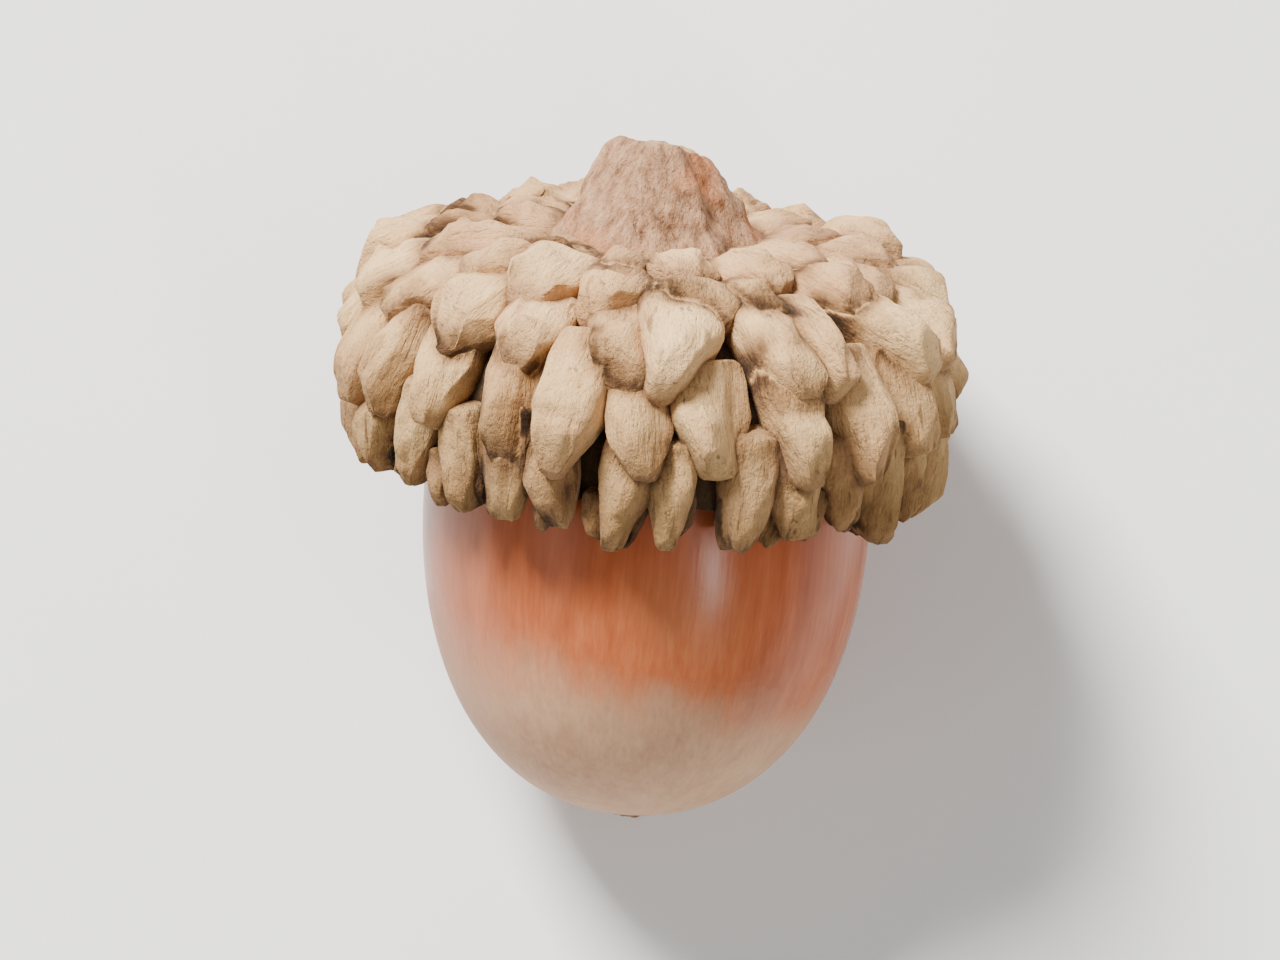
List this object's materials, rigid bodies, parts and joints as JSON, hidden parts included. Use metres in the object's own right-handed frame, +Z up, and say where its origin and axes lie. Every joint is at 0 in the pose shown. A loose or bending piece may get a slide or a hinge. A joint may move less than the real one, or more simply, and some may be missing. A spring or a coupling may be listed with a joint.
{
  "type": "acorn",
  "caption": "Dried acorn lying on its side: a smooth nut with a small pointed umbo, seated in a cup of thick overlapping scales with a stalk stub.",
  "frame": {"origin": "centre of the bounding box in X and Y, at the level of the surface that the acorn lies on", "axes": "+Z up; the cup's crown with its stalk stub points to +Y and upwards, the nut's tip to -Y and downwards"},
  "size_m": [0.0256, 0.0272, 0.0247],
  "materials": {
    "cup_scales": "dry, felted and matte, pale grey-brown with darker gaps between the scales",
    "nut_shell": "smooth and glossy chestnut brown, dull and pale fawn towards the tip"
  },
  "bodies": {
    "root": {"cap": "cup_scales", "nut": "nut_shell"}
  },
  "joints": []
}
